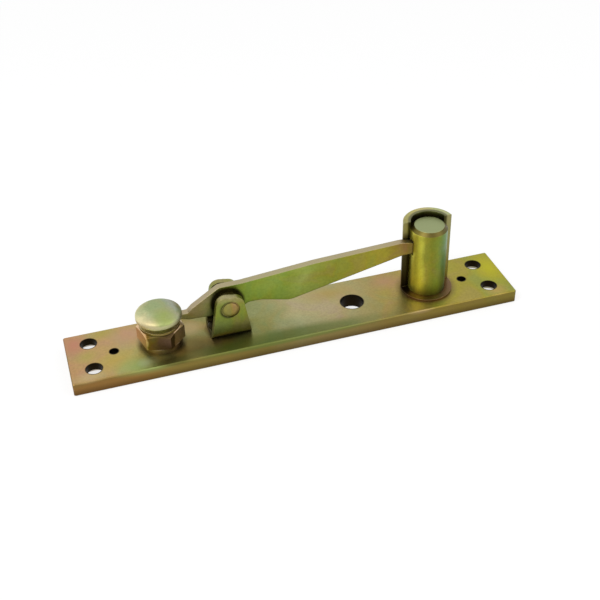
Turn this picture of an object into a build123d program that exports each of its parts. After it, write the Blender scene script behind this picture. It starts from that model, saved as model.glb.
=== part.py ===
from build123d import *
import os
from math import radians, sqrt, tan

# Adjustable top centre (walking-beam top pivot) for a double-action door on a floor spring.
# The base plate lies with its visible face down at z = 0 and carries the mechanism on top.
# X runs along the plate towards the pivot pin, Y across it, Z up. The origin is the centre
# of the plate's lower face, and all sizes are in millimetres. The mechanism is drawn with
# the pin withdrawn: its lower end is flush with the plate. Turning the adjusting screw from
# below lifts the beam's tail, and the beam's nose pushes the pin down out of the plate.

os.makedirs("parts", exist_ok=True)

# Base plate: cut flat bar
plate_length = 190.0
plate_width = 31.0
plate_thickness = 6.0
plate_edge_break = 0.4
plate_corner_radius = 0.8

# Holes in the plate
fixing_hole_radius = 3.3
fixing_sink_radius = 6.1  # countersunk from the visible face
fixing_from_end = 9.6
fixing_from_side = 7.3
cover_hole_radius = 1.75  # for the cover plate's screws
cover_hole_from_end = 18.8
service_hole_radius = 4.9  # a rod through it lifts the beam by hand

# Where the working points stand along the plate
screw_from_end = 38.5
fulcrum_from_screw = 28.1
pin_from_end = 35.5
service_hole_from_pin = 33.9

overshoot = 1.0  # how far a cutting shape runs past the face it cuts

# Adjusting screw and what it carries, stacked up from the plate
shank_radius = 4.95
thread_play = 0.05  # radial, between the plain stand-ins for the two threads
bush_flange_radius = 8.5
bush_flange_height = 2.3
bush_spigot_radius = 6.5
bush_rivet_flare = 0.5
seat_gap = 0.1  # flat faces that bear on each other when the screw is home
nut_across_flats = 17.0
nut_height = 6.6
nut_turn = -16.0  # degrees, corner away from +X
nut_face_share = 0.95  # chamfer circle as a share of the width across flats
nut_chamfer_angle = 30.0
washer_thickness = 1.0
washer_bore_play = 0.25
washer_past_tail = 0.7  # washer's rim beyond the line where the tail bears
neck_radius = 4.6
head_radius = 9.4
head_height = 4.0
head_edge_bevel = 1.1
driver_slot_width = 1.8
driver_slot_depth = 2.6
screw_end_recess = 0.3  # screw's lower end inside the plate's face
screw_end_chamfer = 0.8

# Beam (the rocking lever), a flat plate on edge
beam_thickness = 3.0
fulcrum_height = 14.0  # fulcrum axis above the plate
tail_radius = 1.1  # round end held between screw head and washer
tail_play = 0.175
tail_clear_of_neck = 1.9
nose_radius = 3.2  # round end in the pin's mortise
nose_from_pin_axis = 3.5
nose_height = 22.4  # nose centre above the plate
tail_straight = 1.6  # even part of the finger, beside its round end
tail_finger_length = 4.0
tail_finger_drop = 0.8  # the finger's lower edge falls by this towards its root
tail_root_rise = 2.0  # the finger's upper edge to the foot of the slope
hump_height = 7.9  # upper edge above the fulcrum axis
hump_left = 3.1
hump_right = 6.4
crest_from_fulcrum = 37.4
crest_height = 24.5  # upper edge above the plate, over the long arm
shoulder_height = 26.0  # upper edge above the plate, where the neck starts
beam_neck_half = 2.5  # half the beam's height where it enters the pin
beam_neck_length = 4.2
belly_from_fulcrum = 26.4
belly_height = 9.0  # lower edge above the plate
step_height = 12.1  # lower edge above the plate, beside the fulcrum
step_left = 8.6
step_right = 14.0
hub_radius = 6.6
finger_bend = 0.8  # bend radii of the beam's outline
tight_bend = 2.0
hump_bend = 3.0
soft_bend = 8.0
crest_bend = 30.0

# Fulcrum bracket: strip bent to a U, with tapered ears
strip_thickness = 2.5
bracket_bend_radius = 1.0  # inner
bracket_foot_length = 17.0
ear_taper = 9.5  # degrees each side
ear_over_axis_left = 6.8  # ear's top above the fulcrum axis at its left corner
ear_over_axis_right = 5.0
ear_corner_radius = 4.0

# Fulcrum pin, spacers and rivets
fulcrum_pin_radius = 3.75
fulcrum_play = 0.05
fulcrum_peen_proud = 0.35  # peened end, proud of the front ear
fulcrum_peen_bevel = 0.4
fulcrum_head_radius = 5.3
fulcrum_head_height = 1.8
fulcrum_head_bevel = 0.45
spacer_length = 2.7
spacer_radius = 5.2
spacer_side_play = 0.1
foot_rivet_radius = 2.0
foot_rivet_spread = 5.2  # each side of the fulcrum
foot_rivet_flare = 0.3
foot_rivet_head_radius = 3.4
foot_rivet_crown_radius = 2.7
foot_rivet_head_height = 1.0

# Pivot pin and its guide
pin_radius = 7.75
pin_height = 31.6  # pin's top above the plate
pin_top_chamfer = 1.5
pin_end_chamfer = 1.0
mortise_play = 0.4  # above and below the nose
mortise_side_play = 0.3
mortise_past_nose = 0.8
guide_play = 0.05
guide_wall = 3.2
guide_height = 33.5
guide_spigot_wall = 1.5
guide_rivet_flare = 0.6
guide_rim_chamfer = 0.4  # outer edge
guide_front_lip = 0.8  # height left of the cut-away front half
guide_cut_clear = 0.5  # between the beam's side and the cut

# Sizes worked out from those above
screw_x = -plate_length / 2 + screw_from_end
fulcrum_x = screw_x + fulcrum_from_screw
pin_x = plate_length / 2 - pin_from_end
service_hole_x = pin_x - service_hole_from_pin
fixing_pitch_x = plate_length - 2 * fixing_from_end
fixing_pitch_y = plate_width - 2 * fixing_from_side
cover_pitch_x = plate_length - 2 * cover_hole_from_end
plate_top = plate_thickness
bush_top = plate_top + bush_flange_height
nut_bottom = bush_top + seat_gap
nut_top = nut_bottom + nut_height
washer_bottom = nut_top + seat_gap
washer_top = washer_bottom + washer_thickness
groove_height = 2 * (tail_radius + tail_play)
head_bottom = washer_top + groove_height
head_top = head_bottom + head_height
bush_bore_radius = shank_radius + thread_play
washer_bore_radius = shank_radius + washer_bore_play
tail_x = screw_x + neck_radius + tail_clear_of_neck + tail_radius
tail_z = washer_top + groove_height / 2
washer_radius = tail_x - screw_x + washer_past_tail
fulcrum_z = plate_top + fulcrum_height
nose_x = pin_x - nose_from_pin_axis
nose_z = plate_top + nose_height
bracket_inner_width = beam_thickness + 2 * (spacer_length + 2 * spacer_side_play)
bracket_outer_width = bracket_inner_width + 2 * strip_thickness
ear_outer_y = bracket_outer_width / 2
web_top = plate_top + strip_thickness
guide_bore_radius = pin_radius + guide_play
guide_outer_radius = guide_bore_radius + guide_wall
guide_spigot_radius = guide_bore_radius + guide_spigot_wall
guide_cut_y = beam_thickness / 2 + guide_cut_clear

# Planes: on the visible face looking up, and through each axis
visible_face = Plane(origin=(0, 0, 0), x_dir=(1, 0, 0), z_dir=(0, 0, -1))
screw_section = Plane(origin=(screw_x, 0, 0), x_dir=(1, 0, 0), z_dir=(0, -1, 0))
screw_axis = Axis((screw_x, 0, 0), (0, 0, 1))
pin_section = Plane(origin=(pin_x, 0, 0), x_dir=(1, 0, 0), z_dir=(0, -1, 0))
pin_axis = Axis((pin_x, 0, 0), (0, 0, 1))
fulcrum_section = Plane(origin=(fulcrum_x, 0, fulcrum_z), x_dir=(0, 1, 0), z_dir=(1, 0, 0))
fulcrum_axis = Axis((fulcrum_x, 0, fulcrum_z), (0, 1, 0))
rivet_places = {
    "bracket_rivet_left": fulcrum_x - foot_rivet_spread,
    "bracket_rivet_right": fulcrum_x + foot_rivet_spread,
}


# Base plate: every rivet and bush seats in a countersink of the visible face
with BuildPart() as base_plate:
    with BuildSketch():
        RectangleRounded(plate_length, plate_width, plate_corner_radius)
    extrude(amount=plate_thickness)
    rims = base_plate.faces().sort_by(Axis.Z)
    chamfer(rims[0].edges() + rims[-1].edges(), plate_edge_break)
    with Locations(visible_face):
        with GridLocations(fixing_pitch_x, fixing_pitch_y, 2, 2):
            CounterSinkHole(fixing_hole_radius, fixing_sink_radius, counter_sink_angle=90)
        with GridLocations(cover_pitch_x, 0, 2, 1):
            Hole(cover_hole_radius)
        with Locations((service_hole_x, 0)):
            Hole(service_hole_radius)
        with Locations((screw_x, 0)):
            CounterSinkHole(bush_spigot_radius, bush_spigot_radius + bush_rivet_flare,
                            counter_sink_angle=90)
        with Locations((pin_x, 0)):
            CounterSinkHole(guide_spigot_radius, guide_spigot_radius + guide_rivet_flare,
                            counter_sink_angle=90)
        with Locations([(x, 0) for x in rivet_places.values()]):
            CounterSinkHole(foot_rivet_radius, foot_rivet_radius + foot_rivet_flare,
                            counter_sink_angle=90)

# Threaded bush: flange on the plate, spigot riveted over in the countersink
with BuildPart() as threaded_bush:
    with BuildSketch(screw_section):
        with BuildLine():
            Polyline(
                (bush_bore_radius, 0),
                (bush_spigot_radius + bush_rivet_flare, 0),
                (bush_spigot_radius, bush_rivet_flare),
                (bush_spigot_radius, plate_top),
                (bush_flange_radius, plate_top),
                (bush_flange_radius, bush_top),
                (bush_bore_radius, bush_top),
                close=True,
            )
        make_face()
    revolve(axis=screw_axis)

# Adjusting screw: mushroom head, plain neck for the tail, threaded shank, driver slot below
with BuildPart() as adjusting_screw:
    with BuildSketch(screw_section):
        with BuildLine():
            Polyline(
                (0, screw_end_recess),
                (shank_radius - screw_end_chamfer, screw_end_recess),
                (shank_radius, screw_end_recess + screw_end_chamfer),
                (shank_radius, washer_top),
                (neck_radius, washer_top),
                (neck_radius, head_bottom),
                (head_radius, head_bottom),
                (head_radius, head_top - head_edge_bevel),
                (head_radius - head_edge_bevel, head_top),
                (0, head_top),
                close=True,
            )
        make_face()
    revolve(axis=screw_axis)
    with BuildSketch(Plane.XY.offset(screw_end_recess)):
        with Locations((screw_x, 0)):
            Rectangle(driver_slot_width, 2 * (shank_radius + overshoot))
    extrude(amount=driver_slot_depth, mode=Mode.SUBTRACT)

# Jam nut, locked on the shank, bearing on the bush when the screw is home
with BuildPart() as jam_nut:
    with BuildSketch(Plane.XY.offset(nut_bottom)):
        with Locations((screw_x, 0)):
            RegularPolygon(nut_across_flats / 2, 6, major_radius=False, rotation=nut_turn)
    extrude(amount=nut_height)
    nut_corner_radius = nut_across_flats / sqrt(3)
    nut_face_radius = nut_face_share * nut_across_flats / 2
    nut_chamfer = (nut_corner_radius - nut_face_radius) * tan(radians(nut_chamfer_angle))
    with BuildSketch(screw_section):
        with BuildLine():
            Polyline(
                (0, nut_bottom),
                (nut_corner_radius, nut_bottom),
                (nut_corner_radius, nut_top - nut_chamfer),
                (nut_face_radius, nut_top),
                (0, nut_top),
                close=True,
            )
        make_face()
    revolve(axis=screw_axis, mode=Mode.INTERSECT)
    with Locations((screw_x, 0, nut_top)):
        Hole(bush_bore_radius)

# Thrust washer, lifts the tail
with BuildPart() as thrust_washer:
    with BuildSketch(Plane.XY.offset(washer_bottom)):
        with Locations((screw_x, 0)):
            Circle(washer_radius)
            Circle(washer_bore_radius, mode=Mode.SUBTRACT)
    extrude(amount=washer_thickness)

# Beam: outline from tail to nose along the top, and back along the belly.
# Each corner of the outline has its place and the radius that rounds it. The hub's circle
# rounds the outline below the fulcrum, between two points on 3-4-5 directions from its centre.
tail_top = tail_z + tail_radius
tail_under = tail_z - tail_radius
finger_end_x = tail_x + tail_finger_length
finger_root_z = tail_under - tail_finger_drop
pin_side_x = pin_x - pin_radius
neck_start_x = pin_side_x - beam_neck_length
step_z = plate_top + step_height
beam_outline = [
    ((tail_x, tail_top), 0),
    ((finger_end_x, tail_top), finger_bend),
    ((finger_end_x + tail_root_rise, tail_top + tail_root_rise), finger_bend),
    ((fulcrum_x - hump_left, fulcrum_z + hump_height), hump_bend),
    ((fulcrum_x + hump_right, fulcrum_z + hump_height), soft_bend),
    ((fulcrum_x + crest_from_fulcrum, plate_top + crest_height), crest_bend),
    ((neck_start_x, plate_top + shoulder_height), soft_bend),
    ((pin_side_x, nose_z + beam_neck_half), tight_bend),
    ((nose_x, nose_z + beam_neck_half), 0),
    ((nose_x, nose_z - beam_neck_half), 0),
    ((neck_start_x, nose_z - beam_neck_half), soft_bend),
    ((fulcrum_x + belly_from_fulcrum, plate_top + belly_height), soft_bend),
    ((fulcrum_x + step_right, step_z), soft_bend),
    ((fulcrum_x + step_left, step_z), tight_bend),
    ((fulcrum_x + hub_radius * 0.8, fulcrum_z - hub_radius * 0.6), 0),
    ((fulcrum_x - hub_radius * 0.6, fulcrum_z - hub_radius * 0.8), tight_bend),
    ((finger_end_x, finger_root_z), finger_bend),
    ((tail_x + tail_straight, tail_under), finger_bend),
    ((tail_x, tail_under), 0),
]
with BuildPart() as beam:
    with BuildSketch(Plane.XZ):
        with BuildLine():
            FilletPolyline(
                [corner for corner, _ in beam_outline],
                radius=[bend for _, bend in beam_outline],
                close=True,
            )
        make_face()
        with Locations((fulcrum_x, fulcrum_z)):
            Circle(hub_radius)
        with Locations((nose_x, nose_z)):
            Circle(nose_radius)
        with Locations((tail_x, tail_z)):
            Circle(tail_radius)
        with Locations((fulcrum_x, fulcrum_z)):
            Circle(fulcrum_pin_radius + fulcrum_play, mode=Mode.SUBTRACT)
    extrude(amount=beam_thickness / 2, both=True)

# Fulcrum bracket: the bent strip's U section drawn along X, ears trimmed to shape
ear_top = fulcrum_z + ear_over_axis_left
with BuildPart() as fulcrum_bracket:
    bend_centre_y = bracket_inner_width / 2 + strip_thickness / 2
    strip_middle_z = plate_top + strip_thickness / 2
    with BuildSketch(Plane.YZ.offset(fulcrum_x - bracket_foot_length / 2)):
        with BuildLine():
            FilletPolyline(
                (-bend_centre_y, ear_top),
                (-bend_centre_y, strip_middle_z),
                (bend_centre_y, strip_middle_z),
                (bend_centre_y, ear_top),
                radius=bracket_bend_radius + strip_thickness / 2,
            )
        trace(line_width=strip_thickness)
    extrude(amount=bracket_foot_length)
    lean = tan(radians(ear_taper))
    foot_half = bracket_foot_length / 2
    rise_left = ear_top - plate_top
    rise_right = fulcrum_z + ear_over_axis_right - plate_top
    with BuildSketch(Plane.XZ):
        with BuildLine():
            FilletPolyline(
                (fulcrum_x - foot_half, plate_top),
                (fulcrum_x - foot_half + lean * rise_left, ear_top),
                (fulcrum_x + foot_half - lean * rise_right, plate_top + rise_right),
                (fulcrum_x + foot_half, plate_top),
                radius=[0, ear_corner_radius, ear_corner_radius, 0],
                close=True,
            )
        make_face()
    extrude(amount=bracket_outer_width, both=True, mode=Mode.INTERSECT)
    with Locations(Plane((fulcrum_x, -ear_outer_y, fulcrum_z), z_dir=(0, -1, 0))):
        Hole(fulcrum_pin_radius)
    with Locations([(x, 0, web_top) for x in rivet_places.values()]):
        Hole(foot_rivet_radius)

# Fulcrum pin: headed at the back, peened over in front
with BuildPart() as fulcrum_pin:
    with BuildSketch(fulcrum_section):
        with BuildLine():
            peen_y = -ear_outer_y - fulcrum_peen_proud
            head_y = ear_outer_y + fulcrum_head_height
            Polyline(
                (peen_y, 0),
                (peen_y, fulcrum_pin_radius - fulcrum_peen_bevel),
                (-ear_outer_y, fulcrum_pin_radius),
                (ear_outer_y, fulcrum_pin_radius),
                (ear_outer_y, fulcrum_head_radius),
                (head_y - fulcrum_head_bevel, fulcrum_head_radius),
                (head_y, fulcrum_head_radius - fulcrum_head_bevel),
                (head_y, 0),
                close=True,
            )
        make_face()
    revolve(axis=fulcrum_axis)

# Spacers that keep the beam in the middle of the bracket
spacers = {}
for side, spacer_name in ((-1, "spacer_front"), (1, "spacer_rear")):
    near_y = side * (beam_thickness / 2 + spacer_side_play)
    with BuildPart() as spacer:
        with BuildSketch(Plane.XZ.offset(-near_y)):
            with Locations((fulcrum_x, fulcrum_z)):
                Circle(spacer_radius)
                Circle(fulcrum_pin_radius + fulcrum_play, mode=Mode.SUBTRACT)
        extrude(amount=-side * spacer_length)
    spacers[spacer_name] = spacer

# Rivets that hold the bracket's web to the plate, heads above, countersunk below
rivets = {}
for rivet_name, rivet_x in rivet_places.items():
    with BuildPart() as rivet:
        with BuildSketch(Plane(origin=(rivet_x, 0, 0), x_dir=(1, 0, 0), z_dir=(0, -1, 0))):
            with BuildLine():
                rivet_top = web_top + foot_rivet_head_height
                Polyline(
                    (0, 0),
                    (foot_rivet_radius + foot_rivet_flare, 0),
                    (foot_rivet_radius, foot_rivet_flare),
                    (foot_rivet_radius, web_top),
                    (foot_rivet_head_radius, web_top),
                    (foot_rivet_crown_radius, rivet_top),
                    (0, rivet_top),
                    close=True,
                )
            make_face()
        revolve(axis=Axis((rivet_x, 0, 0), (0, 0, 1)))
    rivets[rivet_name] = rivet

# Pin guide: a tube riveted in the plate, its front half cut away for the beam
guide_top = plate_top + guide_height
with BuildPart() as pin_guide:
    with BuildSketch(pin_section):
        with BuildLine():
            Polyline(
                (guide_bore_radius, 0),
                (guide_spigot_radius + guide_rivet_flare, 0),
                (guide_spigot_radius, guide_rivet_flare),
                (guide_spigot_radius, plate_top),
                (guide_outer_radius, plate_top),
                (guide_outer_radius, guide_top - guide_rim_chamfer),
                (guide_outer_radius - guide_rim_chamfer, guide_top),
                (guide_bore_radius, guide_top),
                close=True,
            )
        make_face()
    revolve(axis=pin_axis)
    front_depth = 2 * guide_outer_radius
    with BuildSketch(Plane.XY.offset(plate_top + guide_front_lip)):
        with Locations((pin_x, guide_cut_y)):
            Rectangle(2 * front_depth, front_depth, align=(Align.CENTER, Align.MAX))
    extrude(amount=guide_height, mode=Mode.SUBTRACT)

# Pivot pin: plain round pin with a blind mortise for the beam's nose
with BuildPart() as pivot_pin:
    with BuildSketch():
        with Locations((pin_x, 0)):
            Circle(pin_radius)
    extrude(amount=plate_top + pin_height)
    chamfer(pivot_pin.faces().sort_by(Axis.Z)[-1].edges(), pin_top_chamfer)
    chamfer(pivot_pin.faces().sort_by(Axis.Z)[0].edges(), pin_end_chamfer)
    mortise_end_x = nose_x + nose_radius + mortise_past_nose
    mortise_depth = mortise_end_x - pin_side_x + overshoot
    mortise_height = 2 * (nose_radius + mortise_play)
    with BuildSketch(Plane.XZ):
        with Locations((mortise_end_x, nose_z)):
            Rectangle(mortise_depth, mortise_height, align=(Align.MAX, Align.CENTER))
    extrude(amount=beam_thickness / 2 + mortise_side_play, both=True, mode=Mode.SUBTRACT)

pieces = {
    "base_plate": base_plate,
    "threaded_bush": threaded_bush,
    "adjusting_screw": adjusting_screw,
    "jam_nut": jam_nut,
    "thrust_washer": thrust_washer,
    "rocking_beam": beam,
    "fulcrum_bracket": fulcrum_bracket,
    "fulcrum_pin": fulcrum_pin,
    **spacers,
    **rivets,
    "pin_guide": pin_guide,
    "pivot_pin": pivot_pin,
}
for piece_name, piece in pieces.items():
    piece.part.label = piece_name
    export_step(piece.part, f"parts/{piece_name}.step")
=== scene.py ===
from math import cos, pi, radians, sin

import bmesh
import bpy
from mathutils import Euler, Matrix, Vector


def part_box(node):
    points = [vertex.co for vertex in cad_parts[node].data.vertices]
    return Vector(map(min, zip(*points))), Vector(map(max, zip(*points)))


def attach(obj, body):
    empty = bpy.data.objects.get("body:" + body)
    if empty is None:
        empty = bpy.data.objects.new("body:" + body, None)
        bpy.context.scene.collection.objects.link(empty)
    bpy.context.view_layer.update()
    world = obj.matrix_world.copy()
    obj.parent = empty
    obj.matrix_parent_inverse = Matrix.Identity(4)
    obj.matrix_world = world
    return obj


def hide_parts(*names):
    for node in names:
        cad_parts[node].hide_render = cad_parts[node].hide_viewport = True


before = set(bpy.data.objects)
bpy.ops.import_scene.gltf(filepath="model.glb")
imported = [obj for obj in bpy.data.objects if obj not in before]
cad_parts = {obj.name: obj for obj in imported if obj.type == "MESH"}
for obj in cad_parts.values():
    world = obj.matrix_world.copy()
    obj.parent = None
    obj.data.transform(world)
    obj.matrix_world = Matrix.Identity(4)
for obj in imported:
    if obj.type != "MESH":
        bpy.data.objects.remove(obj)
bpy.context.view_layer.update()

mm = 0.001  # Blender works in metres, the sizes below are millimetres


# Small tools

def linear(code):  # sRGB hex to linear RGBA
    channels = [int(code[i:i + 2], 16) / 255 for i in (0, 2, 4)]
    return [c / 12.92 if c <= 0.04045 else ((c + 0.055) / 1.055) ** 2.4 for c in channels] + [1]


def addNode(tree, kind, settings, inputs):
    node = tree.nodes.new(kind)
    for name, value in settings.items():
        setattr(node, name, value)
    for name, value in inputs.items():
        if isinstance(value, bpy.types.NodeSocket):
            tree.links.new(value, node.inputs[name])
        else:
            node.inputs[name].default_value = value
    return node


def blend(tree, share, under, over, way="MIX"):  # one colour laid over another
    return addNode(tree, "ShaderNodeMix", {"data_type": "RGBA", "blend_type": way}, {
        0: share, 6: under, 7: over}).outputs[2]


def noise(tree, place, size, settings):  # size of its patches in mm
    return addNode(tree, "ShaderNodeTexNoise", {}, {
        "Vector": place, "Scale": 1 / (size * mm), **settings}).outputs["Fac"]


noiseLow, noiseHigh = 0.3, 0.7  # nearly all values of a noise lie between these


def spread(tree, value, low, high, clamp=True):  # a noise's values brought to low and high
    return addNode(tree, "ShaderNodeMapRange", {"clamp": clamp}, {
        "Value": value, "From Min": noiseLow, "From Max": noiseHigh,
        "To Min": low, "To Max": high}).outputs[0]


def ramp(tree, value, stops):  # stops are (place, sRGB hex)
    node = addNode(tree, "ShaderNodeValToRGB", {}, {"Fac": value})
    elements = node.color_ramp.elements
    while len(elements) < len(stops):
        elements.new(0.5)
    for element, (place, code) in zip(elements, stops):
        element.position = place
        element.color = linear(code)
    return node.outputs["Color"]


def putIn(name, data):  # a new object in the scene
    thing = bpy.data.objects.new(name, data)
    bpy.context.scene.collection.objects.link(thing)
    return thing


# Zinc-plated steel with yellow chromate passivation. The film is a fraction of a micron
# thick, so it shows as clouds of gold, olive, green and rose that drift over each piece
# instead of one flat colour. Side faces, edges, holes and corners also carry painted shade
# and painted highlights. The metal under the film is drawn, blanked or turned, which gives
# the fine grain and the soft, half-blurred gloss.

def passivatedSteel(name, look):
    material = bpy.data.materials.new(name)
    material.use_nodes = True
    tree = material.node_tree
    tree.nodes.clear()
    place = addNode(tree, "ShaderNodeTexCoord", {}, {}).outputs

    # clouds of the film: the piece's own run of colours, pushed about by a large noise; on the
    # plate, screw, nut, bracket and pin the run also holds painted light and shade
    drift = noise(tree, place["Object"], look["cloud"], {
        "Detail": 3, "Roughness": 0.5, "Distortion": 0.4})
    along = addNode(tree, "ShaderNodeSeparateXYZ", {}, {"Vector": place["Object"]})
    run = addNode(tree, "ShaderNodeMapRange", {}, {
        "Value": along.outputs[look["axis"]],
        "From Min": look["from"] * mm, "From Max": look["to"] * mm})
    push = spread(tree, drift, -look["wander"], look["wander"], clamp=False)
    pushed = addNode(tree, "ShaderNodeMath", {"operation": "ADD"}, {
        0: run.outputs[0], 1: push})
    tones = ramp(tree, pushed.outputs[0], look["tones"])

    # interference tints, smaller patches laid over the clouds
    tintPlace = addNode(tree, "ShaderNodeMapping", {}, {
        "Vector": place["Object"], "Location": look["tintShift"]})
    tintNoise = noise(tree, tintPlace.outputs[0], look["tintPatch"], {
        "Detail": 2, "Roughness": 0.55, "Distortion": 0.8})
    tints = ramp(tree, tintNoise, look["tints"])
    tinted = blend(tree, look["tint"], tones, tints)

    # drawing or turning marks, stretched along the grain, and the plating's fine mottle
    grainPlace = addNode(tree, "ShaderNodeMapping", {}, {
        "Vector": place["Object"], "Scale": look["grainStretch"]})
    grain = noise(tree, grainPlace.outputs[0], look["grain"], {"Detail": 2, "Roughness": 0.6})
    speck = noise(tree, place["Object"], look["speck"], {"Detail": 3, "Roughness": 0.6})
    shade = spread(tree, speck, 1 - look["mottle"], 1 + look["mottle"])
    mottled = blend(tree, 1.0, tinted, shade, "MULTIPLY")

    # side faces take the side tone: painted shade on the plate's and the washer's sides, a
    # painted highlight on the lever's narrow edges, a browner tone on the tube's sawn faces
    facing = addNode(tree, "ShaderNodeSeparateXYZ", {}, {"Vector": place["Normal"]})
    facingSize = addNode(tree, "ShaderNodeMath", {"operation": "ABSOLUTE"}, {
        0: facing.outputs[look["sideAxis"]]})
    sideMask = addNode(tree, "ShaderNodeMapRange", {}, {
        "Value": facingSize.outputs[0], "From Min": look["sideFrom"], "From Max": look["sideTo"],
        "To Max": look["side"]})
    stainedAndShaded = blend(tree, sideMask.outputs[0], mottled, linear(look["sideTone"]))

    # stains and painted marks: clouds of film colour, painted shade in holes, corners and round
    # the pivots, and a few painted highlights
    for stainOrShade in look["stainsAndShade"]:
        where = place["Object"]
        if stainOrShade["mirrored"]:
            where = addNode(tree, "ShaderNodeVectorMath", {"operation": "ABSOLUTE"}, {
                0: where}).outputs[0]
        away = addNode(tree, "ShaderNodeVectorMath", {"operation": "SUBTRACT"}, {
            0: where, 1: [mm * value for value in stainOrShade["at"]]})
        weighed = addNode(tree, "ShaderNodeVectorMath", {"operation": "MULTIPLY"}, {
            0: away.outputs[0], 1: stainOrShade["weights"]})
        distance = addNode(tree, "ShaderNodeVectorMath", {"operation": "LENGTH"}, {
            0: weighed.outputs[0]})
        depth = addNode(tree, "ShaderNodeMapRange", {}, {
            "Value": distance.outputs["Value"], "From Min": stainOrShade["radius"] * mm,
            "From Max": (stainOrShade["radius"] + stainOrShade["soft"]) * mm,
            "To Min": stainOrShade["amount"], "To Max": 0})
        stainedAndShaded = blend(tree, depth.outputs[0], stainedAndShaded, linear(stainOrShade["tone"]))

    # edges: rounded for the light, and painted a little paler along them as a highlight
    rounded = addNode(tree, "ShaderNodeBevel", {"samples": 6}, {"Radius": look["edge"] * mm})
    flat = addNode(tree, "ShaderNodeNewGeometry", {}, {})
    sameness = addNode(tree, "ShaderNodeVectorMath", {"operation": "DOT_PRODUCT"}, {
        0: rounded.outputs[0], 1: flat.outputs["Normal"]})
    edgeHighlight = addNode(tree, "ShaderNodeMapRange", {}, {
        "Value": sameness.outputs["Value"], "From Min": look["edgeHighlightFrom"],
        "From Max": look["edgeHighlightTo"], "To Max": look["edgeHighlight"]})
    withEdgeHighlight = blend(tree, edgeHighlight.outputs[0], stainedAndShaded, linear(look["edgeHighlightTone"]))

    gloss = spread(tree, grain, look["rough"] - look["roughSpread"],
                   look["rough"] + look["roughSpread"])
    relief = addNode(tree, "ShaderNodeBump", {}, {
        "Strength": look["bump"], "Distance": look["markDepth"] * mm, "Height": grain,
        "Normal": rounded.outputs[0]})
    steel = addNode(tree, "ShaderNodeBsdfPrincipled", {}, {
        "Base Color": withEdgeHighlight, "Metallic": 1.0, "Roughness": gloss, "Normal": relief.outputs[0]})
    addNode(tree, "ShaderNodeOutputMaterial", {}, {"Surface": steel.outputs[0]})
    return material


# A mark (a stain, painted shade or a painted highlight) is full up to its radius from a point,
# and gone when soft is added to it. A weight below 1 draws it out along that axis, and 0 leaves
# the axis out. A mirrored one lies in all quarters of the piece.
def stainAndShadeAt(at, weights, radius, soft, tone, amount, mirrored=False):
    return {"at": at, "weights": weights, "radius": radius, "soft": soft, "tone": tone,
            "amount": amount, "mirrored": mirrored}


# what the finishes share; a piece's own dictionary changes what it needs
commonLook = {
    "axis": "X", "from": -95, "to": 95, "wander": 0.05, "cloud": 26, "tint": 0.18,
    "tintPatch": 11, "tintShift": (0.31, 0.17, 0.53), "grain": 0.22,
    "grainStretch": (0.04, 1, 1), "speck": 0.9, "mottle": 0.1,
    "sideAxis": "Z", "sideFrom": 0.6, "sideTo": 0.2, "side": 0, "sideTone": "6E5D32",
    "edge": 0.25, "edgeHighlight": 0.25, "edgeHighlightFrom": 0.99, "edgeHighlightTo": 0.8, "edgeHighlightTone": "C9BE93",
    "rough": 0.36, "roughSpread": 0.06, "bump": 0.25, "markDepth": 0.02,
    "tints": [(0.36, "84A870"), (0.45, "9CAC58"), (0.55, "C4A650"), (0.64, "C4907C")],
    "stainsAndShade": []}
screwAt, pinAt, serviceAt = -56.5, 59.5, 25.6  # mm along the plate
fulcrumX, fulcrumZ = -28.4, 20.0
# dark brown painted as shade in holes, gaps and round the feet of parts
shadeTone = "20180C"
upright, crossways = (1, 1, 0), (1, 0, 1)  # stains shaped as cylinders along Z and along Y
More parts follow.
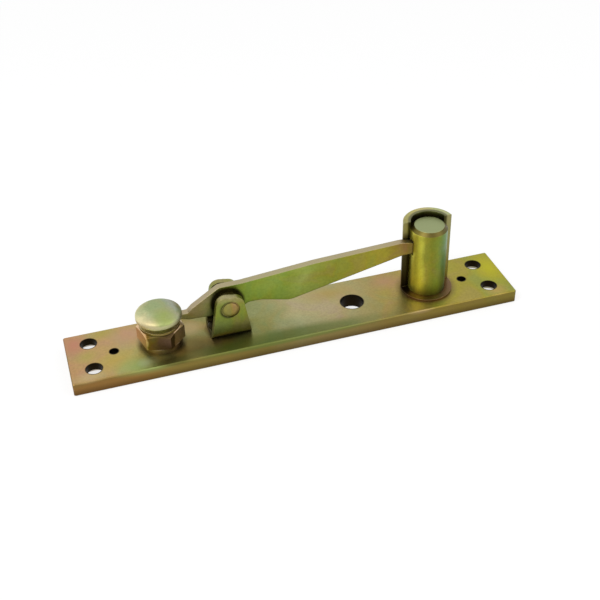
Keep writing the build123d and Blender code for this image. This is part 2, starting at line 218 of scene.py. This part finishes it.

# bright drawn flat bar: grain along its length; cut ends and edges painted browner as shade
plateLook = {
    **commonLook, "cloud": 24, "wander": 0.04, "tint": 0.22, "tintPatch": 16, "edgeHighlight": 0,
    "rough": 0.4, "sideFrom": 0.98, "sideTo": 0.62, "side": 0.8, "sideTone": "72602C",
    "tints": [(0.38, "98A664"), (0.46, "ACA450"), (0.55, "BC9C48"), (0.63, "BE9070")],
    "stainsAndShade": [
        # clouds at the left end
        stainAndShadeAt((-91, 9, 6), (1, 0.7, 3), 1, 6, "BE7A6A", 0.65),
        stainAndShadeAt((-78, 13, 6), (0.6, 1, 3), 1, 4, "A69C44", 0.6),
        stainAndShadeAt((-87, 0, 6), (0.8, 1, 3), 1, 4, "A8A050", 0.5),
        stainAndShadeAt((-69, 8, 6), (0.8, 1, 3), 2, 8, "BC9078", 0.65),
        stainAndShadeAt((-77, -6, 6), (0.8, 1, 3), 1, 7, "B4A244", 0.5),
        stainAndShadeAt((-66, -13, 6), (0.6, 1, 3), 2, 7, "8CA862", 0.7),
        stainAndShadeAt((-88, -13, 6), (0.6, 1, 3), 1, 3.5, "BEB07E", 0.5),
        # clouds beside the screw and along the lever; the dark ones in front of the screw, right
        # of it and along the front edge near the middle are painted shade
        stainAndShadeAt((-53.5, -14.2, 6), (0.5, 1, 3), 2, 2, "4E4622", 0.65),
        stainAndShadeAt((-44, 5, 6), (0.9, 1, 3), 2, 4, "B49C70", 0.65),
        stainAndShadeAt((-46, -7, 6), (0.7, 1, 3), 3.5, 4.5, "6A5826", 0.7),
        stainAndShadeAt((-44, -14, 6), (0.5, 1, 3), 1, 2.5, "A0824E", 0.5),
        stainAndShadeAt((-10, -14, 6), (0.12, 1, 3), 3.5, 3, "66783A", 0.65),
        stainAndShadeAt((18, 9, 6), (0.5, 1, 3), 1, 6, "A89048", 0.6),
        # clouds at the right end
        stainAndShadeAt((44, 9, 6), (0.8, 1, 3), 1, 6, "B8866E", 0.55),
        stainAndShadeAt((51, -13, 6), (0.8, 1, 3), 2, 4, "AC946C", 0.6),
        stainAndShadeAt((91, 4, 6), (1, 0.6, 3), 1, 8, "BCB61C", 0.7),
        stainAndShadeAt((87, -12, 6), (0.8, 1, 3), 1, 4, "BE9A5E", 0.55),
        # front side, and the brown line along both lower edges
        stainAndShadeAt((-80, -15.5, 2), (0.1, 1, 0.6), 1.5, 1.5, "965E2E", 0.4),
        stainAndShadeAt((-45, -15.5, 2), (0.1, 1, 0.6), 1.2, 1.5, "8C7C3C", 0.4),
        stainAndShadeAt((0, 15.5, 0), (0, 1, 1), 1.0, 2.6, "3A2210", 0.55, mirrored=True),
        # dark walls of the holes: painted shade
        stainAndShadeAt((85.4, 8.2, 0), upright, 3.4, 0.4, shadeTone, 1, mirrored=True),
        stainAndShadeAt((76.2, 0, 0), upright, 1.9, 0.4, shadeTone, 1, mirrored=True),
        stainAndShadeAt((serviceAt, 0, 0), upright, 5.0, 0.4, shadeTone, 1),
        # painted shade round the feet of what stands on the plate, and a pale teal cloud beside
        # the screw
        stainAndShadeAt((pinAt, 0, 6), upright, 11.2, 2.6, "68503C", 0.55),
        stainAndShadeAt((screwAt, 0, 6), upright, 8.7, 2.2, shadeTone, 0.55),
        stainAndShadeAt((-64.2, -11.2, 6), (0.8, 1, 3), 0.8, 3.2, "B8CCA4", 0.6),
        stainAndShadeAt((fulcrumX, 0, 6), (0.78, 1, 0), 6.5, 1.8, shadeTone, 0.5)],
    # the run's darker stretch, from about x -44 to -17, is a painted reflection of dark
    # surroundings
    "tones": [(0.0, "B48C6A"), (0.08, "B4986A"), (0.16, "AEA064"), (0.27, "84784C"),
              (0.41, "7C7E4C"), (0.5, "A8A480"), (0.6, "A49C78"), (0.72, "9C8A58"),
              (0.85, "A0983A"), (1.0, "8A8C34")]}

# blanked strip: the lever's film runs from brown at the tail over olive green to gold at the
# pin; its upper edge is painted paler than its faces as a highlight, and round the pivot its
# side is painted dark as shade
beamLook = {
    **commonLook, "from": -50, "to": 56, "cloud": 18, "wander": 0.08, "tint": 0.1,
    "tones": [(0.0, "6E5428"), (0.06, "766A3C"), (0.11, "7A7A4C"), (0.25, "6E8028"),
              (0.38, "7E9034"), (0.5, "8E9C4A"), (0.62, "82842C"), (0.78, "948A2C"),
              (0.9, "786028"), (1.0, "6E5226")],
    "sideAxis": "Y", "side": 0.8, "sideTone": "B2A486", "edge": 0.5, "rough": 0.38,
    "stainsAndShade": [stainAndShadeAt((fulcrumX, 0, fulcrumZ), crossways, 6.6, 1.0, shadeTone, 0.9)]}

# bent strip: olive ears, painted darker towards the bottom as shade and paler at their tops
# as a highlight; painted shade between them and round the pin
bracketLook = {
    **commonLook, "axis": "Z", "from": 6, "to": 27, "cloud": 14, "wander": 0.1,
    "tones": [(0.0, "5E5A3E"), (0.3, "6C7038"), (0.6, "76802E"), (0.8, "7E8438"),
              (0.95, "8E8C58"), (1.0, "AAA67C")],
    "tint": 0.1, "grainStretch": (1, 1, 0.06), "edgeHighlight": 0.12,
    "stainsAndShade": [
        stainAndShadeAt((0, 0, 0), (0, 1, 0), 4.35, 0.1, shadeTone, 0.75),
        stainAndShadeAt((fulcrumX - 0.4, 0, fulcrumZ), crossways, 3.6, 0.8, shadeTone, 0.75)]}

# turned head: palest film of all, dull, its marks too fine to show one by one; painted
# pale on the left and dark on the right as light and shade, with painted highlights low on
# the left and round the head's rim
screwLook = {
    **commonLook, "from": -66, "to": -47, "cloud": 9, "wander": 0.12,
    "tones": [(0.0, "F0E4BA"), (0.2, "C4C49A"), (0.4, "9CA87C"), (0.65, "98A47C"),
              (0.85, "A0A298"), (1.0, "6E6E50")],
    "tint": 0.12, "grainStretch": (1, 1, 0.3), "rough": 0.52, "edge": 0.15,
    "stainsAndShade": [
        stainAndShadeAt((-62, -8, 20), (1, 1, 1), 2, 4, "B8A47C", 0.6),
        stainAndShadeAt((-54, -6, 22), (1, 1, 0.5), 2, 5, "A0AC4E", 0.5),
        stainAndShadeAt((0, 0, 19.3), (0, 0, 1), 0.9, 0.5, "CCC29C", 0.5)]}

# hexagon bar: the near faces dark brown, the outer ones painted paler as a highlight
nutLook = {
    **commonLook, "from": -66, "to": -47, "cloud": 8, "wander": 0.03,
    "tones": [(0.0, "E6C39C"), (0.13, "C8A070"), (0.17, "6A4814"), (0.3, "523E18"),
              (0.42, "443222"), (0.7, "524032"), (0.73, "BEA282"), (1.0, "D2BC9C")],
    "tint": 0.08, "edgeHighlight": 0.35, "edgeHighlightTone": "A88A48", "rough": 0.34}

# its top painted pale as a highlight where the head's shade falls, its rim painted darker as
# shade
washerLook = {**nutLook, "tones": [(0.0, "E0D2A8"), (1.0, "C8B88C")], "side": 0.9,
              "sideTone": "6E5C22"}

# painted dark brown as shade under the nut, with a painted highlight along its edges
bushLook = {**nutLook, "tones": [(0.0, "8A6A34"), (0.45, "7A6A5A"), (1.0, "5A4A36")], "edgeHighlight": 0.6,
            "edgeHighlightTone": "B8A878"}

spacerLook = {**nutLook, "tones": [(0.0, "7A7440"), (1.0, "7A7440")]}

# hammered ends: coarse, uneven relief instead of a grain
rivetLook = {
    **commonLook, "axis": "Z", "from": 0, "to": 26, "cloud": 5, "wander": 0.2,
    "tones": [(0.0, "8A7C46"), (0.5, "8B8240"), (1.0, "8E7A40")],
    "grainStretch": (1, 1, 1), "grain": 0.8, "bump": 0.6, "rough": 0.46,
    # a band of painted shade over the bracket rivets' heads
    "stainsAndShade": [stainAndShadeAt((0, 0, 9.3), (0, 0, 1), 1.2, 0.5, shadeTone, 0.95)]}

# cut tube: browner on the sawn faces; painted dark as shade in the bore, round its foot and
# where the lever comes in, with a faint painted highlight round its top rim
guideLook = {
    **commonLook, "from": 48, "to": 71, "cloud": 12, "wander": 0.12,
    "tones": [(0.0, "8A7A3C"), (0.5, "B4B06A"), (1.0, "98AA88")],
    "sideAxis": "Y", "sideFrom": 0.985, "sideTo": 0.998, "side": 0.85, "sideTone": "8C8454",
    "grainStretch": (1, 1, 0.08), "edgeHighlight": 0.1,
    "stainsAndShade": [
        stainAndShadeAt((pinAt, 0, 0), upright, 8.6, 0.7, "2A2A0C", 0.88),
        stainAndShadeAt((0, 0, 6.4), (0, 0, 1), 0.6, 0.2, "6C4C32", 0.9),
        stainAndShadeAt((0, 0, 39.5), (0, 0, 1), 0.45, 0.2, "D2D2A2", 0.15),
        stainAndShadeAt((pinAt - 10, 2, 14), (1, 1, 0.32), 4.5, 2.5, shadeTone, 0.85)]}

# ground pin: the finest marks and the least relief; its left edge painted pale as light and
# its top chamfer painted dark as shade
pivotLook = {
    **commonLook, "from": 51, "to": 68, "cloud": 14, "wander": 0.08,
    "tones": [(0.0, "EEE868"), (0.13, "D0CC4E"), (0.26, "8A862C"), (0.42, "747622"),
              (0.58, "72802E"), (0.75, "66844E"), (0.88, "6A8E70"), (1.0, "587860")],
    "tint": 0.08, "grain": 0.15, "grainStretch": (1, 1, 0.12), "rough": 0.4, "bump": 0.12,
    "edgeHighlight": 0,
    "stainsAndShade": [
        stainAndShadeAt((0, 0, 6), (0, 0, 1), 2, 8, "5E7428", 0.3),
        stainAndShadeAt((0, 0, 36.9), (0, 0, 1), 0.7, 0.1, "5E512C", 0.9),
        stainAndShadeAt((0, 0, 37.7), (0, 0, 1), 0.15, 0.05, "9AA476", 0.9)]}

finishes = {
    "base_plate": ("plateSteel", plateLook),
    "threaded_bush": ("bushSteel", bushLook),
    "jam_nut": ("nutSteel", nutLook),
    "thrust_washer": ("washerSteel", washerLook),
    "rocking_beam": ("beamSteel", beamLook),
    "fulcrum_bracket": ("bracketSteel", bracketLook),
    "spacer_front": ("spacerSteel", spacerLook),
    "spacer_rear": ("spacerSteel", spacerLook),
    "pin_guide": ("guideSteel", guideLook),
    "pivot_pin": ("pivotSteel", pivotLook)}
made = {}
for nodeName, (finishName, look) in finishes.items():
    if finishName not in made:
        made[finishName] = passivatedSteel(finishName, look)
    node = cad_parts[nodeName]
    node.data.materials.clear()
    node.data.materials.append(made[finishName])
print("finishes on the CAD pieces")


# Round pieces whose forms the lathe and the hammer give. A profile is a list of
# (radius, height) pairs in mm up the axis, closed at both ends by a radius of nought.

sharpCorner = 35  # degrees; a blunter corner is shaded smooth


def lathe(name, profile, base, axis, across, radiusAt=None, segments=96):
    upward, sideways = Vector(axis), Vector(across)
    third = upward.cross(sideways)
    points, faces = [], []
    for radius, height in profile:
        for i in range(segments if radius else 1):
            angle = 2 * pi * i / segments
            reach = radiusAt(radius, height, angle) if radiusAt else radius
            points.append(Vector(base) + mm * (
                upward * height + reach * (cos(angle) * sideways + sin(angle) * third)))
    last = len(points) - 1
    for i in range(segments):
        j = (i + 1) % segments
        faces.append((0, 1 + j, 1 + i))
        for low in range(1, last - segments, segments):
            faces.append((low + i, low + j, low + segments + j, low + segments + i))
        faces.append((last, last - segments + i, last - segments + j))
    mesh = bpy.data.meshes.new(name)
    mesh.from_pydata(points, [], faces)
    mesh.shade_smooth()
    mesh.set_sharp_from_angle(angle=radians(sharpCorner))
    return putIn(name, mesh)


def dome(rim, bottom, top, fullness, steps=14):  # from the rim up to the crown
    turns = [pi / 2 * i / steps for i in range(steps)]
    arc = [(rim * cos(t) ** (2 / fullness), bottom + (top - bottom) * sin(t) ** (2 / fullness))
           for t in turns]
    return arc + [(0, top)]


def fit(piece, body, slot, finish, *nodes):
    piece.data.materials.append(finish)
    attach(piece, body)
    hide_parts(*nodes)


# adjusting screw: one turned piece, with a rolled M10 thread and a milled driver slot
screw = {
    "pitch": 1.5, "crest": 4.95, "root": 4.1, "threadSteps": 110,
    "rootHalf": 0.15, "flank": 0.2,  # shares of the pitch
    "runOut": 0.6, "runOutEnd": 0.05, "endChamfer": 0.8, "neck": 4.6,
    "headHeight": 4.0, "headRim": 1.2, "crownFullness": 2.6,
    "underRound": 0.4, "underMiddle": (0.1, 0.12),  # in from the rim, up from the underside
    "slotWidth": 1.8, "slotDepth": 2.6, "cutterLength": 12, "cutterBelow": 2}
low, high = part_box("adjusting_screw")
screwX, screwBase, screwTop = (low.x + high.x) / 2, low.z / mm, high.z / mm
headRadius = (high.x - low.x) / 2 / mm
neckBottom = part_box("thrust_washer")[1].z / mm
headBottom = screwTop - screw["headHeight"]
threadTop = neckBottom - screw["runOut"]


def threadedRadius(radius, height, angle):  # flat crests and roots, straight flanks
    if height > threadTop or radius > screw["crest"]:
        return radius
    wave = (height / screw["pitch"] - angle / (2 * pi)) % 1
    sink = (screw["rootHalf"] + screw["flank"] - abs(wave - 0.5)) / screw["flank"]
    sink = min(1, max(0, sink))
    return min(radius, screw["crest"] - sink * (screw["crest"] - screw["root"]))


shank = []
for step in range(screw["threadSteps"] + 1):
    rise = (threadTop - screwBase) * step / screw["threadSteps"]
    shank.append((min(screw["crest"], screw["crest"] - screw["endChamfer"] + rise),
                  screwBase + rise))
inward, up = screw["underMiddle"]
screwProfile = [
    (0, screwBase), *shank, (screw["crest"], threadTop + screw["runOutEnd"]),
    (screw["crest"], neckBottom), (screw["neck"], neckBottom), (screw["neck"], headBottom),
    (headRadius - screw["underRound"], headBottom),
    (headRadius - inward, headBottom + up), (headRadius, headBottom + screw["underRound"]),
    *dome(headRadius, headBottom + screw["headRim"], screwTop, screw["crownFullness"])]
screwPiece = lathe("adjustingScrewTurned", screwProfile, (screwX, 0, 0),
                   (0, 0, 1), (1, 0, 0), threadedRadius)

# the slot is milled from below, by a cutter that starts under the screw's end
cutterSize = Vector((screw["slotWidth"], screw["cutterLength"],
                     screw["slotDepth"] + screw["cutterBelow"])) * mm
cutterMiddle = (screwBase + (screw["slotDepth"] - screw["cutterBelow"]) / 2) * mm
cutter = bmesh.new()
bmesh.ops.create_cube(cutter, size=1, matrix=Matrix.LocRotScale(
    (screwX, 0, cutterMiddle), None, cutterSize))
slotMesh = bpy.data.meshes.new("slotTool")
cutter.to_mesh(slotMesh)
cutter.free()
slotTool = putIn("slotTool", slotMesh)
milling = screwPiece.modifiers.new("driverSlot", "BOOLEAN")
milling.object = slotTool
milling.operation = "DIFFERENCE"
milling.solver = "EXACT"
milled = screwPiece.evaluated_get(bpy.context.evaluated_depsgraph_get())
screwPiece.data = bpy.data.meshes.new_from_object(milled)
screwPiece.modifiers.clear()
bpy.data.objects.remove(slotTool)
screwPiece.data.materials.clear()
fit(screwPiece, "screw", "turned_steel", passivatedSteel("screwSteel", screwLook),
    "adjusting_screw")

# fulcrum pin: turned head behind, hammered over in front of the bracket
fulcrum = {
    "radius": 3.75, "headRadius": 5.3, "headHeight": 1.8, "headRim": 0.5, "headFullness": 3.2,
    # hammered end as (radius, depth), with a groove round its foot inside the ear's hole
    "peen": [(0, 0), (1.3, 0.02), (2.2, 0.1), (2.85, 0.25), (3.15, 0.45), (3.25, 0.85)]}
rivetSteel = passivatedSteel("rivetSteel", rivetLook)
low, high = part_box("fulcrum_pin")
front, back = low.y / mm, high.y / mm
fulcrumAt = ((low.x + high.x) / 2, 0, (low.z + high.z) / 2)
seat = back - fulcrum["headHeight"]
grooveBottom = front + fulcrum["peen"][-1][1]
fulcrumProfile = [
    *[(radius, front + depth) for radius, depth in fulcrum["peen"]],
    (fulcrum["radius"], grooveBottom), (fulcrum["radius"], seat), (fulcrum["headRadius"], seat),
    *dome(fulcrum["headRadius"], seat + fulcrum["headRim"], back, fulcrum["headFullness"])]
fulcrumPiece = lathe("fulcrumPinPeened", fulcrumProfile, fulcrumAt, (0, 1, 0), (1, 0, 0))
fit(fulcrumPiece, "plate", "rivet_steel", rivetSteel, "fulcrum_pin")

# bracket rivets: snap heads above, filed flush with the visible face below
rivet = {"radius": 2.0, "flare": 0.3, "headRadius": 3.4, "headHeight": 1.0, "headRim": 0.15,
         "headFullness": 2.0, "segments": 64}
for side in ("left", "right"):
    low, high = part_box("bracket_rivet_" + side)
    top = high.z / mm
    web = top - rivet["headHeight"]
    rivetProfile = [
        (0, 0), (rivet["radius"] + rivet["flare"], 0), (rivet["radius"], rivet["flare"]),
        (rivet["radius"], web), (rivet["headRadius"], web),
        *dome(rivet["headRadius"], web + rivet["headRim"], top, rivet["headFullness"])]
    rivetPiece = lathe("bracketRivetPeened_" + side, rivetProfile,
                       ((low.x + high.x) / 2, 0, 0), (0, 0, 1), (1, 0, 0),
                       segments=rivet["segments"])
    fit(rivetPiece, "plate", "rivet_steel", rivetSteel, "bracket_rivet_" + side)
print("turned and peened pieces")


# Studio: pale floor and plain soft light, with a white background behind the object
studio = {"floorTone": "E4E4E2", "floorSize": 6, "floorDrop": 0.1, "shadowShare": 0.3,
          "paperGlow": (0.78, 0.86), "glowFrom": 0.4, "glowTo": 1.4, "worldLevel": 0.5}
lamps = [  # name, place and width in metres, watts
    ("keyLamp", (-0.5, -0.3, 0.8), 0.5, 3.2),
    ("fillLamp", (0.6, -0.5, 0.5), 0.6, 1.6)]


def seen(tree):  # 1 for the rays that show the white background
    path = addNode(tree, "ShaderNodeLightPath", {}, {}).outputs
    either = addNode(tree, "ShaderNodeMath", {"operation": "MAXIMUM"}, {
        0: path["Is Camera Ray"], 1: path["Is Glossy Ray"]})
    return addNode(tree, "ShaderNodeMath", {"operation": "MAXIMUM"}, {
        0: either.outputs[0], 1: path["Is Transmission Ray"]}).outputs[0]


world = bpy.data.worlds.new("studioWorld")
bpy.context.scene.world = world
world.use_nodes = True
world.node_tree.nodes.clear()
lightLevel = addNode(world.node_tree, "ShaderNodeBackground", {}, {
    "Color": (1, 1, 1, 1), "Strength": studio["worldLevel"]})
whiteLevel = addNode(world.node_tree, "ShaderNodeBackground", {}, {
    "Color": (1, 1, 1, 1), "Strength": 1.0})
mixed = addNode(world.node_tree, "ShaderNodeMixShader", {}, {
    0: seen(world.node_tree), 1: lightLevel.outputs[0], 2: whiteLevel.outputs[0]})
addNode(world.node_tree, "ShaderNodeOutputWorld", {}, {"Surface": mixed.outputs[0]})

# matt white paper: takes a soft shadow, and is otherwise as bright as the background
paper = bpy.data.materials.new("paperFloor")
paper.use_nodes = True
tree = paper.node_tree
tree.nodes.clear()
matt = addNode(tree, "ShaderNodeBsdfDiffuse", {}, {"Color": linear(studio["floorTone"])})
faint = addNode(tree, "ShaderNodeBsdfDiffuse", {}, {
    "Color": [studio["shadowShare"]] * 3 + [1]})
outward = addNode(tree, "ShaderNodeVectorMath", {"operation": "LENGTH"}, {
    0: addNode(tree, "ShaderNodeTexCoord", {}, {}).outputs["Object"]})
glow = addNode(tree, "ShaderNodeMapRange", {}, {  # makes up for the lamps' fall-off, metres
    "Value": outward.outputs["Value"], "From Min": studio["glowFrom"],
    "From Max": studio["glowTo"], "To Min": studio["paperGlow"][0],
    "To Max": studio["paperGlow"][1]})
bright = addNode(tree, "ShaderNodeEmission", {}, {
    "Color": (1, 1, 1, 1), "Strength": glow.outputs[0]})
shown = addNode(tree, "ShaderNodeAddShader", {}, {0: faint.outputs[0], 1: bright.outputs[0]})
floorMix = addNode(tree, "ShaderNodeMixShader", {}, {
    0: seen(tree), 1: matt.outputs[0], 2: shown.outputs[0]})
under = addNode(tree, "ShaderNodeNewGeometry", {}, {}).outputs["Backfacing"]
clear = addNode(tree, "ShaderNodeBsdfTransparent", {}, {})
paperSheet = addNode(tree, "ShaderNodeMixShader", {}, {  # clear to a look from below
    0: under, 1: floorMix.outputs[0], 2: clear.outputs[0]})
addNode(tree, "ShaderNodeOutputMaterial", {}, {"Surface": paperSheet.outputs[0]})
half = studio["floorSize"] / 2
floorMesh = bpy.data.meshes.new("paperFloor")
floorMesh.from_pydata([(-half, -half, 0), (half, -half, 0), (half, half, 0), (-half, half, 0)],
                      [], [(0, 1, 2, 3)])
floorMesh.materials.append(paper)
paperFloor = putIn("paperFloor", floorMesh)
paperFloor.location.z = -studio["floorDrop"] * mm  # a hair under the plate's visible face

for name, spot, width, watts in lamps:
    light = bpy.data.lights.new(name, "AREA")
    light.size = width
    light.energy = watts
    lamp = putIn(name, light)
    lamp.location = spot
    lamp.rotation_euler = (-Vector(spot)).to_track_quat("-Z", "Y").to_euler()
print("studio")

# Camera: solved from the plate's corners and holes
view = {"azimuth": -16.216, "elevation": 36.764, "roll": -1.745,  # degrees
        "place": (-94.1, -332.6, 271.3), "lens": 62.22, "sensor": 36, "clipStart": 10}  # mm
cameraData = bpy.data.cameras.new("photoCamera")
cameraData.lens = view["lens"]
cameraData.sensor_width = view["sensor"]
cameraData.clip_start = view["clipStart"] * mm
camera = putIn("photoCamera", cameraData)
aim = Euler((radians(90 - view["elevation"]), 0, radians(view["azimuth"]))).to_matrix()
camera.matrix_world = (aim @ Matrix.Rotation(radians(view["roll"]), 3, "Z")).to_4x4()
camera.location = Vector(view["place"]) * mm
bpy.context.scene.camera = camera
bpy.context.scene.view_settings.view_transform = "Standard"
print("camera")
